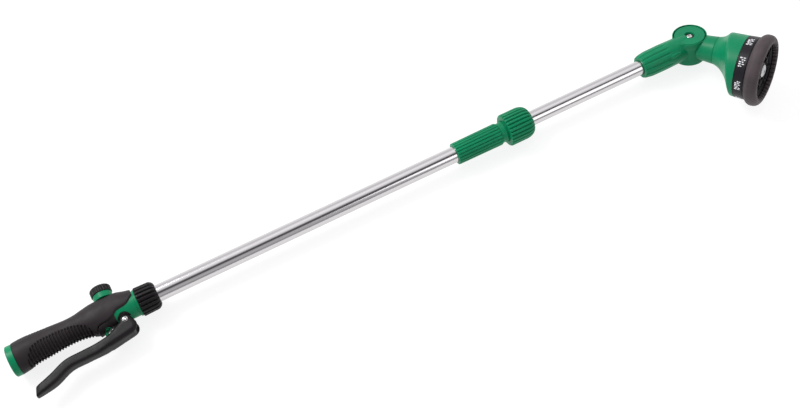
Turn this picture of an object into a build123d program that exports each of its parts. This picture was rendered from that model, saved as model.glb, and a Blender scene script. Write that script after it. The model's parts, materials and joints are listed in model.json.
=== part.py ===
from build123d import *
import os
from math import cos, radians, sin

# Telescopic garden watering wand, millimetres. It lies on its side, as on a bench.
# Origin: centre of the hose inlet's end face. +X runs along the tubes to the head, +Y to the
# thumb side with the flow knob, and +Z up. The lever is on the -Y side.

os.makedirs("parts", exist_ok=True)

# ---- driving dimensions ----------------------------------------------------------------
RUN = 0.06                      # radial clearance of a running fit
HOSE_R = 13.3                   # bore of the 3/4 inch hose thread
RING_R = 17.25                  # green ring at the hose end
CORE_R = 9.0                    # water tube inside the grip
CHEST_R = 13.8                  # valve chest and front neck
HANDLE_END = 143.0              # front face of the neck
LOWER_R, LOWER_BORE = 9.5, 8.9  # 19 mm outer tube
UPPER_R, UPPER_BORE = 8.8, 8.1  # 17.6 mm sliding tube
LOWER_START, LOWER_END = 147.2, 590.0
UPPER_START, UPPER_END = 352.0, 802.0
SLEEVE_X, COLLAR_X, COLLAR_END = 531.0, 596.4, 630.0
SOCKET_X = 782.0

STEM_X = 100.5                  # lever valve, square to the tube
STEM_R = 2.0
SPINDLE_X = 111.5               # flow control, square to the tube
SPINDLE_R = 4.5
PORT_Y = -5.8                   # height of the small passage from the valve to the spindle
LEVER_PIVOT = (124.0, -15.0)
LEVER_HALF = 7.2                # half the lever's width
LUG_HALF, EAR_IN, EAR_OUT = 5.0, 5.3, 9.6
PIN_R = 2.5
EAR_R, EAR_SWING = 6.9, 8.0     # the ears' radius, and the radius that they sweep

PIVOT_X = 852.0                 # head joint
TWIST = radians(20.0)           # the head joint's axis leans about the tube by this much
DRUM_R, DRUM_BORE = 19.6, 15.7
DRUM_LOW, DRUM_TOP, CAP_TOP = -17.8, 10.2, 14.8
BEND = 58.0                     # the head's bend from the tube, degrees
BELL_SHIFT = 17.5               # dial axis beside the neck axis
SEAM, RIM, BAND_END, FACE = 34.0, 72.0, 85.0, 101.0
BELL_R, BAND_R, BEZEL_R, BEZEL_BORE = 36.2, 36.8, 41.8, 31.6

# ---- planes: local x runs along the axis that a profile is turned about ------------------
pivot_dir = Vector(0, sin(TWIST), cos(TWIST))
side_dir = Vector(0, -cos(TWIST), sin(TWIST))
head_dir = Vector(1, 0, 0) * cos(radians(BEND)) + side_dir * sin(radians(BEND))
shift_dir = Vector(-1, 0, 0) * sin(radians(BEND)) + side_dir * cos(radians(BEND))
pivot_point = Vector(PIVOT_X, 0, 0)

along_tube = Plane.XY
along_stem = Plane(origin=(STEM_X, 0, 0), x_dir=(0, 1, 0), z_dir=(0, 0, 1))
along_spindle = Plane(origin=(SPINDLE_X, 0, 0), x_dir=(0, 1, 0), z_dir=(0, 0, 1))
along_pin = Plane(origin=(*LEVER_PIVOT, 0), x_dir=(0, 0, 1), z_dir=(1, 0, 0))
along_pivot = Plane(origin=pivot_point, x_dir=pivot_dir, z_dir=(1, 0, 0))
along_neck = Plane(origin=pivot_point, x_dir=head_dir, z_dir=pivot_dir)
along_dial = Plane(origin=pivot_point + shift_dir * BELL_SHIFT, x_dir=head_dir, z_dir=pivot_dir)


def across(line, distance):
    """Plane square to a turning axis, so many millimetres along it."""
    return Plane(origin=line.origin + line.x_dir * distance, x_dir=line.z_dir, z_dir=line.x_dir)


def turned(line, points, mode=Mode.ADD):
    """Solid of revolution from a closed profile of (along, radius) points."""
    with BuildSketch(line) as face:
        with BuildLine():
            Polyline(*points, close=True)
        make_face()
    revolve(face.sketch, axis=Axis(line.origin, line.x_dir), mode=mode)


def ring(line, start, end, outer, inner=0.0, mode=Mode.ADD):
    """Plain ring, disc or bore between two places along an axis."""
    with BuildSketch(across(line, start)) as face:
        Circle(outer)
        if inner > 0:
            Circle(inner, mode=Mode.SUBTRACT)
    extrude(face.sketch, amount=end - start, mode=mode)


def o_ring(line, at, middle, wire):
    """Rubber ring of round section."""
    with BuildSketch(line) as face:
        with Locations((at, middle)):
            Circle(wire)
    revolve(face.sketch, axis=Axis(line.origin, line.x_dir))


def flutes(line, start, end, radius, width, count):
    """Round-bottomed grooves cut along the outside of a turned piece."""
    with BuildSketch(across(line, start)) as face:
        with PolarLocations(radius, count):
            Circle(width / 2)
    extrude(face.sketch, amount=end - start, mode=Mode.SUBTRACT)


def finish(piece, name):
    piece.part.label = name
    export_step(piece.part, f"parts/{name}.step")


# ---- handle: green body ----------------------------------------------------------------
THREAD_DEPTH, INLET_DEPTH = 10.4, 14.0
WASHER_R = 12.4                 # pocket for the hose washer behind the thread
SOCKET_R, SOCKET_END = 14.9, 15.5
CHEST_X = 94.0
SPIGOT_R, SPIGOT_END = 12.4, 159.0
STEM_BOSS, SPINDLE_BOSS = 7.0, 8.0
BOSS_LOW, BOSS_HIGH = -14.6, 19.0
PLUG_R, PLUG_LOW, PLUG_HIGH = 6.5, 11.0, 15.0

RING_END = 7.3
OUTLINE = [
    (RING_END, 0), (RING_END, SOCKET_R), (SOCKET_END, SOCKET_R), (23, CORE_R),
    (88, CORE_R), (CHEST_X, CHEST_R), (HANDLE_END, CHEST_R), (HANDLE_END, 0),
]


def core_outline(mode):
    """The filled outside of the body behind the neck, which the grip cover fits over."""
    turned(along_tube, OUTLINE, mode=mode)
    ring(along_spindle, 0, BOSS_HIGH, SPINDLE_BOSS, mode=mode)
    ring(along_stem, 0, PLUG_HIGH, PLUG_R + 1.5, mode=mode)
    ring(along_stem, BOSS_LOW, 0, STEM_BOSS, mode=mode)


with BuildPart() as handle_body:
    core_outline(Mode.ADD)
    turned(along_tube, [(0, 0), (0, RING_R - 0.9), (0.9, RING_R), (RING_END, RING_R), (RING_END, 0)])
    turned(along_tube, [(HANDLE_END - 2, 0), (HANDLE_END - 2, 14.9), (HANDLE_END, 14.9),
                        (HANDLE_END, SPIGOT_R), (SPIGOT_END, SPIGOT_R), (SPIGOT_END, 0)])
    # lug that the lever's ears straddle
    with BuildSketch(Plane.XY):
        with Locations(LEVER_PIVOT):
            Circle(6.4)
        with Locations((LEVER_PIVOT[0], -11.0)):
            Rectangle(12.8, 8.0)
    extrude(amount=LUG_HALF, both=True)
    # hose socket, water tube, small passages, outlet and tube socket
    ring(along_tube, 0, THREAD_DEPTH, HOSE_R, mode=Mode.SUBTRACT)
    ring(along_tube, THREAD_DEPTH, INLET_DEPTH, WASHER_R, mode=Mode.SUBTRACT)
    ring(along_tube, INLET_DEPTH, 90, 6.5, mode=Mode.SUBTRACT)
    ring(along_tube, 118, SPIGOT_END, 7.0, mode=Mode.SUBTRACT)
    ring(along_tube, LOWER_START - 0.2, SPIGOT_END, LOWER_R, mode=Mode.SUBTRACT)
    ring(along_tube, SPIGOT_END - 2, SPIGOT_END, 11.4, mode=Mode.SUBTRACT)
    with BuildSketch(Plane.YZ.offset(86)):
        with Locations((4.5, 0)):
            Circle(3.0)
    extrude(amount=STEM_X - 86, mode=Mode.SUBTRACT)
    with BuildSketch(Plane.YZ.offset(STEM_X)):
        with Locations((PORT_Y, 0)):
            Circle(2.6)
    extrude(amount=22, mode=Mode.SUBTRACT)
    # lever valve: chamber, seat pocket, stem bore, gland thread, plug
    ring(along_stem, -1, PLUG_LOW, 5.2, mode=Mode.SUBTRACT)
    ring(along_stem, -3, -1, 5.4, mode=Mode.SUBTRACT)
    ring(along_stem, -9.5, -3, 3.4, mode=Mode.SUBTRACT)
    ring(along_stem, BOSS_LOW, -9.5, 4.0, mode=Mode.SUBTRACT)
    ring(along_stem, PLUG_LOW, PLUG_HIGH, PLUG_R, mode=Mode.SUBTRACT)
    # flow spindle bore and lever pin hole
    ring(along_spindle, -10.2, BOSS_HIGH, SPINDLE_R + RUN, mode=Mode.SUBTRACT)
    ring(along_pin, -LUG_HALF, LUG_HALF, PIN_R, mode=Mode.SUBTRACT)
    # flats beside the lug that the lever's ears turn over
    for side in (1, -1):
        ring(along_pin, side * LUG_HALF, side * 16, EAR_SWING, mode=Mode.SUBTRACT)
finish(handle_body, "handle_body")

# ---- handle: black grip cover ----------------------------------------------------------
# sections along the grip: place, centre height, half height, half width
GRIP = [
    (RING_END, 0.4, 17.6, 17.2), (16.0, 1.5, 17.5, 16.6), (26.0, 2.6, 16.6, 15.4), (38.0, 2.8, 15.9, 14.6),
    (52.0, 3.0, 14.7, 14.0), (66.0, 3.0, 13.9, 13.8), (76.0, 3.0, 14.4, 14.3), (86.0, 3.0, 16.4, 15.2),
    (96.0, 2.4, 18.8, 16.1), (110.0, 2.6, 18.9, 16.5), (124.0, 2.6, 18.6, 16.2), (133.0, 1.4, 17.2, 15.5),
    (140.0, 0.6, 16.2, 15.0),
]
SKIRT = [(95.0, -16.6), (104.0, -15.2), (113.0, -9.6), (122.0, -5.6), (132.0, -2.0), (141.0, 6.0)]

with BuildPart() as grip_cover:
    for place, middle, high, wide in GRIP:
        with BuildSketch(Plane(origin=(place, middle, 0), x_dir=(0, 1, 0), z_dir=(1, 0, 0))):
            Ellipse(high, wide)
    loft()
    core_outline(Mode.SUBTRACT)
    # the skirts end along a falling line, and the lever side is open in front of it
    with BuildSketch(Plane.XY):
        with BuildLine():
            Spline(*SKIRT)
            Polyline(SKIRT[-1], (146, 6), (146, -24), (95, -24), SKIRT[0])
        make_face()
    extrude(amount=22, both=True, mode=Mode.SUBTRACT)
    ring(along_spindle, 17, 26, 11.7, mode=Mode.SUBTRACT)
    ring(along_stem, -24, 0, STEM_BOSS, mode=Mode.SUBTRACT)
finish(grip_cover, "grip_cover")

# ---- hose inlet ------------------------------------------------------------------------
WASHER_X, SCREEN_X = 10.8, 13.4

with BuildPart() as hose_washer:
    ring(along_tube, WASHER_X, SCREEN_X, WASHER_R - 0.1, 8.5)
    fillet(hose_washer.edges().filter_by(GeomType.CIRCLE), 0.4)
finish(hose_washer, "hose_washer")

with BuildPart() as inlet_screen:
    ring(along_tube, SCREEN_X, INLET_DEPTH, WASHER_R - 0.1)
    with BuildSketch(Plane.YZ.offset(SCREEN_X)):
        with GridLocations(2.0, 2.0, 5, 5):
            Circle(0.75)
    extrude(amount=1, mode=Mode.SUBTRACT)
finish(inlet_screen, "inlet_screen")

# ---- lever valve -----------------------------------------------------------------------
SPRING_MID, SPRING_WIRE = 3.6, 0.4
SPRING_LOW, SPRING_HIGH, SPRING_TURNS = 2.35, 10.55, 4.5
STEM_TIP = -20.8

with BuildPart() as valve_seat:
    ring(along_stem, -3, -1, 5.4, 3.4)
finish(valve_seat, "valve_seat")

with BuildPart() as valve_stem:
    ring(along_stem, STEM_TIP, -0.4, STEM_R)
    fillet(valve_stem.edges().sort_by(Axis.Y)[0], 1.2)
    ring(along_stem, -0.4, 1.8, 4.6)
    fillet(valve_stem.edges().sort_by(Axis.Y)[-1], 0.5)
finish(valve_stem, "valve_stem")

with BuildPart() as poppet_seal:
    ring(along_stem, -1, -0.4, 4.6, STEM_R)
finish(poppet_seal, "poppet_seal")

with BuildPart() as valve_spring:
    coil = Helix(
        pitch=(SPRING_HIGH - SPRING_LOW) / SPRING_TURNS, height=SPRING_HIGH - SPRING_LOW,
        radius=SPRING_MID, center=(STEM_X, SPRING_LOW, 0), direction=(0, 1, 0),
    )
    with BuildSketch(Plane(origin=coil @ 0, z_dir=coil % 0)):
        Circle(SPRING_WIRE)
    sweep(path=coil, is_frenet=True)
finish(valve_spring, "valve_spring")

with BuildPart() as chest_plug:
    ring(along_stem, PLUG_LOW, PLUG_HIGH, PLUG_R)
    with BuildSketch(across(along_stem, PLUG_HIGH)):
        Rectangle(1.4, 2 * PLUG_R)
    extrude(amount=-1.2, mode=Mode.SUBTRACT)
finish(chest_plug, "chest_plug")

with BuildPart() as stem_gland:
    turned(along_stem, [(-11.8, STEM_R + RUN), (-11.8, 4.0), (BOSS_LOW, 4.0), (BOSS_LOW, 4.8),
                        (-15.8, 4.8), (-16.2, 4.3), (-16.2, STEM_R + RUN)])
finish(stem_gland, "stem_gland")

with BuildPart() as gland_o_ring:
    o_ring(along_stem, -10.65, 3.02, 0.92)
finish(gland_o_ring, "gland_o_ring")

# ---- lever -----------------------------------------------------------------------------
# The long arm's upper and lower edges, from the tip to the pivot end.
LEVER_TOP = [(17.4, -39.6), (32.0, -35.6), (51.0, -27.4), (71.0, -26.2), (90.0, -25.6), (102.0, -21.4)]
LEVER_BASE = [(17.0, -50.2), (34.0, -45.6), (54.0, -37.4), (73.0, -36.6), (94.0, -36.0), (110.0, -31.0)]
LEVER_TIP = (14.4, -45.2)
NOSE, NOSE_R = (125.2, -22.8), 8.4

with BuildPart() as lever:
    with BuildSketch():
        with BuildLine():
            Spline(*LEVER_TOP)
            Line(LEVER_TOP[-1], LEVER_PIVOT)
            Line(LEVER_PIVOT, NOSE)
            Line(NOSE, LEVER_BASE[-1])
            Spline(*LEVER_BASE)
            ThreePointArc(LEVER_TOP[0], LEVER_TIP, LEVER_BASE[0])
        make_face()
    extrude(amount=LEVER_HALF, both=True)
    with BuildSketch():
        with Locations(LEVER_PIVOT):
            Circle(EAR_R)
        with Locations(NOSE):
            Circle(NOSE_R)
        make_hull()
    extrude(amount=EAR_OUT, both=True)
    with BuildSketch():
        with BuildLine():
            Polyline(LEVER_TOP[-1], (117.4, -13.6), LEVER_PIVOT, NOSE, LEVER_BASE[-1], LEVER_TOP[-1])
        make_face()
    extrude(amount=LEVER_HALF, both=True)
    # slot between the ears for the lug and the gland
    with BuildSketch():
        with BuildLine():
            Polyline((102.9, -5), (102.9, -19.0), (110.0, -22.6), (131.5, -22.6), (131.5, -5), close=True)
        make_face()
    extrude(amount=EAR_IN, both=True, mode=Mode.SUBTRACT)
    ring(along_pin, -EAR_OUT, EAR_OUT, PIN_R + RUN, mode=Mode.SUBTRACT)
finish(lever, "lever")

with BuildPart() as lever_pivot_screw:
    ring(along_pin, -11.8, EAR_OUT + 0.1, PIN_R)
    ring(along_pin, EAR_OUT + 0.1, EAR_OUT + 1.7, 3.4)
    fillet(lever_pivot_screw.edges().sort_by(Axis.Z)[-1], 0.7)
    with BuildSketch(across(along_pin, EAR_OUT + 1.7)):
        Rectangle(4.6, 0.8)
        Rectangle(0.8, 4.6)
    extrude(amount=-0.9, mode=Mode.SUBTRACT)
finish(lever_pivot_screw, "lever_pivot_screw")

with BuildPart() as lever_pivot_nut:
    with BuildSketch(across(along_pin, -EAR_OUT - 0.1)):
        RegularPolygon(4.1, 6)
        Circle(PIN_R, mode=Mode.SUBTRACT)
    extrude(amount=-2.6)
finish(lever_pivot_nut, "lever_pivot_nut")

# ---- flow knob -------------------------------------------------------------------------
NECK_Y, COLLAR_Y, CAP_Y, KNOB_TOP = 23.0, 19.4, 26.2, 35.2
KNOB_COLLAR_R, KNOB_CAP_R = 10.6, 11.6

with BuildPart() as knob_spindle:
    ring(along_spindle, -10, NECK_Y, SPINDLE_R)
    ring(along_spindle, NECK_Y, 31, 3.0)
    ring(along_spindle, 11.0, 13.0, SPINDLE_R + 1, 3.2, mode=Mode.SUBTRACT)
    ring(along_spindle, 24, 31, 1.25, mode=Mode.SUBTRACT)
    with BuildSketch(Plane.YZ.offset(SPINDLE_X - SPINDLE_R - 1)):
        with Locations((PORT_Y, 0)):
            Circle(2.6)
    extrude(amount=2 * SPINDLE_R + 2, mode=Mode.SUBTRACT)
finish(knob_spindle, "knob_spindle")

with BuildPart() as spindle_o_ring:
    o_ring(along_spindle, 12.0, 3.86, 0.64)
finish(spindle_o_ring, "spindle_o_ring")

with BuildPart() as knob_collar:
    turned(along_spindle, [
        (COLLAR_Y, SPINDLE_R), (COLLAR_Y, KNOB_COLLAR_R - 1), (COLLAR_Y + 1, KNOB_COLLAR_R),
        (CAP_Y, KNOB_COLLAR_R), (CAP_Y, 3.0), (NECK_Y, 3.0), (NECK_Y, SPINDLE_R),
    ])
finish(knob_collar, "knob_collar")

with BuildPart() as knob_cap:
    turned(along_spindle, [(CAP_Y, 3.0), (CAP_Y, KNOB_CAP_R), (KNOB_TOP - 1.6, KNOB_CAP_R),
                           (KNOB_TOP - 0.5, KNOB_CAP_R - 0.7), (KNOB_TOP, KNOB_CAP_R - 2.2), (KNOB_TOP, 0),
                           (34.0, 0), (34.0, 3.0)])
    flutes(along_spindle, CAP_Y, KNOB_TOP, KNOB_CAP_R + 0.25, 1.7, 24)
finish(knob_cap, "knob_cap")

with BuildPart() as knob_screw:
    ring(along_spindle, 25, 31, 1.25)
    ring(along_spindle, 31, 33, 2.8)
finish(knob_screw, "knob_screw")

# ---- coupling to the outer tube ----------------------------------------------------------
NUT_R, NUT_X, NUT_END = 16.4, 143.3, 165.6

with BuildPart() as tube_nut:
    turned(along_tube, [
        (NUT_X, 12.8), (NUT_X, NUT_R - 0.9), (NUT_X + 0.9, NUT_R), (NUT_END - 4.2, NUT_R),
        (NUT_END - 1.4, NUT_R - 1.6), (NUT_END, NUT_R - 4.0), (NUT_END, LOWER_R + 0.3),
        (163.0, LOWER_R + 0.3), (160.0, 12.8),
    ])
    flutes(along_tube, NUT_X, NUT_END - 2.6, NUT_R + 0.55, 2.9, 20)
finish(tube_nut, "tube_nut")

with BuildPart() as tube_ferrule:
    turned(along_tube, [
        (SPIGOT_END + 0.1, LOWER_R), (SPIGOT_END + 0.1, 12.0), (162.2, LOWER_R + 0.6), (162.2, LOWER_R),
    ])
finish(tube_ferrule, "tube_ferrule")

with BuildPart() as tube_o_ring:
    o_ring(along_tube, SPIGOT_END - 1.0, 10.45, 0.93)
finish(tube_o_ring, "tube_o_ring")

with BuildPart() as lower_tube:
    ring(along_tube, LOWER_START, LOWER_END, LOWER_R, LOWER_BORE)
finish(lower_tube, "lower_tube")

# ---- sleeve, collet and locking collar ---------------------------------------------------
SLEEVE_R, SLEEVE_NECK = 12.9, 588.0
THREAD_R, THREAD_END = 12.4, 608.0
COLLAR_R = 19.3

with BuildPart() as tube_sleeve:
    turned(along_tube, [
        (SLEEVE_X, LOWER_R), (SLEEVE_X, SLEEVE_R - 0.5), (SLEEVE_X + 0.6, SLEEVE_R),
        (SLEEVE_NECK - 1, SLEEVE_R + 0.4), (SLEEVE_NECK, SLEEVE_R - 0.9), (COLLAR_X - 0.5, SLEEVE_R - 0.9),
        (COLLAR_X - 0.5, THREAD_R), (THREAD_END, THREAD_R), (THREAD_END, UPPER_R + RUN),
        (LOWER_END, UPPER_R + RUN), (LOWER_END, LOWER_R),
    ])
    flutes(along_tube, SLEEVE_X, SLEEVE_NECK, SLEEVE_R + 0.75, 2.5, 18)
finish(tube_sleeve, "tube_sleeve")

with BuildPart() as collet_ring:
    turned(along_tube, [(THREAD_END + 0.2, UPPER_R + RUN), (THREAD_END + 0.2, 11.9), (612.0, 11.9),
                        (620.0, 10.2), (620.0, UPPER_R + RUN)])
    with Locations((614.0, 10.5, 0)):
        Box(14, 5, 1.2, mode=Mode.SUBTRACT)
finish(collet_ring, "collet_ring")

with BuildPart() as lock_collar:
    turned(along_tube, [
        (COLLAR_X, 12.8), (COLLAR_X, COLLAR_R - 0.8), (COLLAR_X + 0.8, COLLAR_R), (COLLAR_END - 9, COLLAR_R),
        (COLLAR_END - 5.5, COLLAR_R - 1.0), (COLLAR_END - 2.4, COLLAR_R - 3.4),
        (COLLAR_END - 0.6, COLLAR_R - 6.4), (COLLAR_END, COLLAR_R - 8.6), (COLLAR_END, UPPER_R + 0.35),
        (621.0, UPPER_R + 0.35), (621.0, 10.5),
        (612.6, 12.3), (609.0, 12.8),
    ])
    flutes(along_tube, COLLAR_X, COLLAR_END - 5.0, COLLAR_R + 0.55, 2.8, 26)
finish(lock_collar, "lock_collar")

# ---- sliding tube and its piston ----------------------------------------------------------
PISTON_X = 340.0

with BuildPart() as piston_bush:
    turned(along_tube, [
        (PISTON_X, 5.0), (PISTON_X, 8.2), (PISTON_X + 0.5, 8.75), (PISTON_X + 4, 8.75), (PISTON_X + 4, 7.3),
        (PISTON_X + 6, 7.3), (PISTON_X + 6, 8.75), (UPPER_START - 0.1, 8.75),
        (UPPER_START - 0.1, UPPER_BORE - RUN),
        (UPPER_START + 12, UPPER_BORE - RUN), (UPPER_START + 12, 5.0),
    ])
finish(piston_bush, "piston_bush")

with BuildPart() as piston_o_ring:
    o_ring(along_tube, PISTON_X + 5, 8.08, 0.76)
finish(piston_o_ring, "piston_o_ring")

with BuildPart() as upper_tube:
    ring(along_tube, UPPER_START, UPPER_END, UPPER_R, UPPER_BORE)
finish(upper_tube, "upper_tube")

# ---- head socket with the joint's drum ------------------------------------------------------
ARM_R, ARM_R_END = 13.4, 15.3
STUB_HALF, STUB_HIGH = 6.5, 7.2
WINDOW = (-26.0, 111.0)         # bend angles that the drum is open over, degrees

with BuildPart() as head_socket:
    turned(along_tube, [
        (SOCKET_X, 0), (SOCKET_X, ARM_R - 0.9), (SOCKET_X + 0.9, ARM_R), (SOCKET_X + 10, ARM_R_END - 0.3),
        (PIVOT_X - 14, ARM_R_END), (PIVOT_X, ARM_R_END), (PIVOT_X, 0),
    ])
    flutes(along_tube, SOCKET_X, SOCKET_X + 36, ARM_R_END + 0.8, 2.6, 14)
    ring(along_pivot, DRUM_LOW, DRUM_TOP, DRUM_R)
    fillet(head_socket.edges().group_by(Axis(pivot_point, pivot_dir))[0], 1.2)
    ring(along_pivot, DRUM_TOP, 30, DRUM_R, mode=Mode.SUBTRACT)
    ring(along_pivot, -30, DRUM_LOW, 30, mode=Mode.SUBTRACT)
    ring(along_pivot, -12.4, DRUM_TOP, DRUM_BORE, mode=Mode.SUBTRACT)
    ring(along_pivot, -15, -12.4, 2.0, mode=Mode.SUBTRACT)
    # window for the neck, open to the drum's top; bend angles run the other way from local x
    with BuildSketch(Plane(origin=pivot_point, x_dir=(1, 0, 0), z_dir=pivot_dir).offset(-STUB_HIGH - 0.4)):
        with BuildLine():
            start_edge = PolarLine((0, 0), 30, -WINDOW[1])
            Polyline(start_edge @ 1, (34, -34), (34, 20))
            end_edge = PolarLine((0, 0), 30, -WINDOW[0])
            Line((34, 20), end_edge @ 1)
        make_face()
    extrude(amount=30, mode=Mode.SUBTRACT)
    ring(along_tube, SOCKET_X, UPPER_END, UPPER_R, mode=Mode.SUBTRACT)
    ring(along_tube, UPPER_END, PIVOT_X - 10, 6.0, mode=Mode.SUBTRACT)
    ring(along_tube, UPPER_END - 4, UPPER_END - 1.6, 10.5, mode=Mode.SUBTRACT)
finish(head_socket, "head_socket")

with BuildPart() as socket_o_ring:
    o_ring(along_tube, UPPER_END - 2.8, 9.64, 0.83)
finish(socket_o_ring, "socket_o_ring")

with BuildPart() as pivot_cap:
    turned(along_pivot, [
        (DRUM_TOP + 0.1, 2.06), (DRUM_TOP + 0.1, DRUM_R - 0.4), (CAP_TOP - 0.7, DRUM_R - 0.4),
        (CAP_TOP, DRUM_R - 1.1), (CAP_TOP, 5.2), (CAP_TOP - 1.8, 5.2), (CAP_TOP - 1.8, 2.06),
    ])
finish(pivot_cap, "pivot_cap")

with BuildPart() as pivot_screw:
    ring(along_pivot, -14.8, CAP_TOP - 1.7, 2.0)
    ring(along_pivot, CAP_TOP - 1.7, CAP_TOP - 0.3, 4.0)
    fillet(pivot_screw.edges().sort_by(Axis(pivot_point, pivot_dir))[-1], 0.6)
    with BuildSketch(across(along_pivot, CAP_TOP - 0.3)):
        Rectangle(5.2, 0.9)
        Rectangle(0.9, 5.2)
    extrude(amount=-0.9, mode=Mode.SUBTRACT)
finish(pivot_screw, "pivot_screw")

# ---- head neck with the hub that turns in the drum -------------------------------------------
HUB_R = DRUM_BORE - 0.08
SADDLE_IN = DRUM_R + 0.35
NECK_R = 16.4

with BuildPart() as head_neck:
    for place, wide, high in ((14.0, 14.2, 14.2), (24.0, 15.2, 15.2), (SEAM, NECK_R, NECK_R)):
        with BuildSketch(across(along_neck, place)):
            Ellipse(high, wide)
    loft()
    ring(along_pivot, -20, 20, SADDLE_IN, mode=Mode.SUBTRACT)
    ring(along_pivot, -12.3, DRUM_TOP - 0.1, HUB_R)
    with BuildSketch(across(along_neck, 10)):
        Rectangle(2 * STUB_HIGH, 2 * STUB_HALF)
    extrude(amount=12)
    # chamber that faces the arm at every bend, O-ring grooves, screw hole and water way
    with BuildSketch(along_neck.offset(-5.6)):
        with Locations((-6, 0)):
            Rectangle(22, 2 * HUB_R + 4)
    extrude(amount=11.2, mode=Mode.SUBTRACT)
    for place in (-11.0, 7.6):
        ring(along_pivot, place, place + 1.8, HUB_R + 1, HUB_R - 1.3, mode=Mode.SUBTRACT)
    ring(along_pivot, -12.3, DRUM_TOP, 2.0 + RUN, mode=Mode.SUBTRACT)
    ring(along_neck, 2, SEAM, 5.2, mode=Mode.SUBTRACT)
    ring(along_neck, SEAM, SEAM + 6, 12.4, 5.2)
finish(head_neck, "head_neck")

with BuildPart() as hub_o_rings:
    for place in (-10.1, 8.5):
        o_ring(along_pivot, place, HUB_R - 0.68, 0.6)
finish(hub_o_rings, "hub_o_rings")

# ---- bell: starts round the neck and opens to one side, level with the neck on the other ------
# sections: place along the neck, shift towards the dial axis, half width that way, half width across
BELL = [
    (SEAM, 0.0, NECK_R, NECK_R), (43.0, 1.2, 18.4, 21.0), (52.0, 4.2, 21.6, 30.6), (60.0, 10.6, 28.2, 33.8),
    (66.0, 16.4, 33.9, 35.2), (RIM, BELL_SHIFT, BELL_R, BELL_R),
]
BELL_WALL = 2.3


def bell_sections(wall):
    for place, shift, along, beside in BELL:
        centre = pivot_point + head_dir * place + shift_dir * shift
        with BuildSketch(Plane(origin=centre, x_dir=pivot_dir, z_dir=head_dir)) as face:
            Ellipse(beside - wall, along - wall)
        yield face.sketch


with BuildPart() as head_bell:
    loft(sections=list(bell_sections(0.0)))
    loft(sections=list(bell_sections(BELL_WALL)), mode=Mode.SUBTRACT)
    ring(along_neck, SEAM, SEAM + 3, NECK_R - 0.5, 12.4)
finish(head_bell, "head_bell")

PLATE_LOW, PLATE_HIGH = 67.4, 71.4
PLATE_R = 28.4
DETENT_R = 25.0                 # detent ball beside the dial axis

with BuildPart() as valve_plate:
    ring(along_dial, PLATE_LOW, PLATE_HIGH, PLATE_R)
    ring(along_neck, PLATE_LOW, PLATE_HIGH, 4.5, mode=Mode.SUBTRACT)
    ring(along_dial, PLATE_LOW, PLATE_HIGH, 2.5, mode=Mode.SUBTRACT)
    ring(along_neck, PLATE_HIGH - 1.0, PLATE_HIGH, 6.8, mode=Mode.SUBTRACT)
    with BuildSketch(across(along_dial, PLATE_HIGH)):
        with Locations((0, DETENT_R)):
            Circle(2.1)
    extrude(amount=-3.4, mode=Mode.SUBTRACT)
finish(valve_plate, "valve_plate")

with BuildPart() as dial_gasket:
    ring(along_neck, PLATE_HIGH - 1.0, RIM + 0.3, 6.7, 4.5)
finish(dial_gasket, "dial_gasket")

with BuildPart() as detent_spring:
    detent = Plane(origin=along_dial.origin + shift_dir * DETENT_R, x_dir=head_dir, z_dir=pivot_dir)
    ring(detent, PLATE_HIGH - 3.4, PLATE_HIGH - 2.2, 1.9, 1.1)
finish(detent_spring, "detent_spring")

with BuildPart() as detent_ball:
    with Locations(detent.origin + head_dir * (PLATE_HIGH - 0.2)):
        Sphere(2.0)
finish(detent_ball, "detent_ball")

with BuildPart() as dial_screw:
    ring(along_dial, PLATE_LOW, 78, 2.5)
    ring(along_dial, 78, 81, 5.0)
finish(dial_screw, "dial_screw")

# ---- dial: band, bezel, spray plate --------------------------------------------------------
DIAL_BACK = RIM + 0.5
BAND_WALL = 33.2
PORTS, PORT_R = 8, 4.2
SPRAY_LOW, SPRAY_HIGH = 92.0, 95.0

with BuildPart() as dial_band:
    turned(along_dial, [
        (DIAL_BACK, 2.5 + RUN), (DIAL_BACK, BELL_R + 0.1), (BAND_END, BAND_R), (BAND_END, 35.4),
        (FACE - 5, 35.4),
        (FACE - 5, BAND_WALL), (SPRAY_LOW - 4, BAND_WALL), (SPRAY_LOW - 4, 31.0), (DIAL_BACK + 3, 31.0),
        (DIAL_BACK + 3, 8.0), (77.6, 8.0), (77.6, 2.5 + RUN),
    ])
    ring(along_dial, DIAL_BACK, DIAL_BACK + 0.9, DETENT_R + 2.2, DETENT_R - 2.2, mode=Mode.SUBTRACT)
    with BuildSketch(across(along_dial, DIAL_BACK)):
        with PolarLocations(BELL_SHIFT, PORTS):
            Circle(PORT_R)
        with PolarLocations(DETENT_R, PORTS):
            Circle(2.1)
    extrude(amount=3, mode=Mode.SUBTRACT)
finish(dial_band, "dial_band")

with BuildPart() as bezel:
    turned(along_dial, [
        (BAND_END + 0.1, 35.4), (BAND_END + 0.1, BAND_R + 0.6), (BAND_END + 2.0, BEZEL_R - 2.2),
        (BAND_END + 4.4, BEZEL_R - 0.4),
        (FACE - 9, BEZEL_R), (FACE - 4, BEZEL_R - 0.6), (FACE - 1.4, BEZEL_R - 2.8), (FACE, BEZEL_R - 5.6),
        (FACE, BEZEL_BORE + 2), (FACE - 1.2, BEZEL_BORE + 0.4), (FACE - 4.9, BEZEL_BORE), (FACE - 4.9, 35.4),
    ])
finish(bezel, "bezel")

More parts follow.
